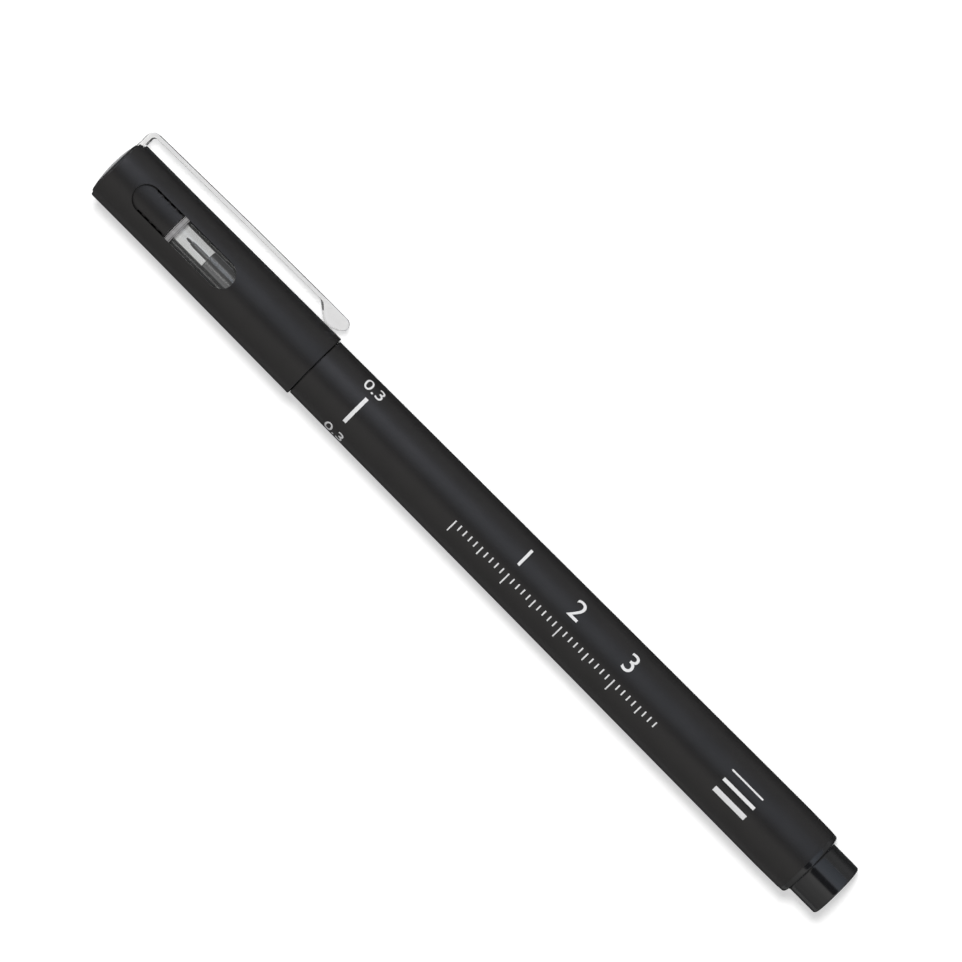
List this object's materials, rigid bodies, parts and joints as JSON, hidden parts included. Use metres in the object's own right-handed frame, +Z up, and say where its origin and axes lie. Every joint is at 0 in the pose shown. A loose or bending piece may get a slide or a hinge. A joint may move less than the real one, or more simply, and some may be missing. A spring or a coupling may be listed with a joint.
{
  "type": "sign pen",
  "caption": "Capped fine-line sign pen: matte black tapered barrel, cap with a see-through window over the nib, clear pocket clip and a tail stub that takes the cap.",
  "frame": {"origin": "bottom centre of the pen's box as it lies on a surface, rolled until its clip rests there", "axes": "+X along the pen from the crown of the cap to the tail stub, +Z up"},
  "size_m": [0.138, 0.0128, 0.0105],
  "materials": {
    "matte_black": "fine matte moulded plastic",
    "gloss_black": "glossy moulded plastic",
    "clear_plastic": "clear glossy moulded plastic",
    "steel": "drawn stainless tube",
    "nib_plastic": "ink-stained plastic point",
    "inked_fibre": "ink-soaked fibre",
    "thin_film": "thin clear film"
  },
  "bodies": {
    "pen": {"barrel": "matte_black", "front_section": "gloss_black", "nib_sleeve": "steel", "nib_tip": "nib_plastic", "feed_wick": "inked_fibre", "ink_reservoir": "inked_fibre", "reservoir_film": "thin_film", "end_plug": "gloss_black"},
    "cap": {"cap_shell": "matte_black", "crown_plug": "gloss_black", "inner_cap": "clear_plastic"},
    "clip": {"clip": "clear_plastic"}
  },
  "joints": [
    {"name": "cap_pull", "type": "slide", "parent": "pen", "child": "cap", "axis": [-1, 0, 0], "range_m": [0, 0.045]},
    {"name": "clip_flex", "type": "hinge", "parent": "cap", "child": "clip", "pos_m": [-0.068, 0.00273, 0.00308], "axis": [0, 0.4989, 0.8667], "range_deg": [0, 4], "stiffness_Nm_per_rad": 0.5}
  ]
}
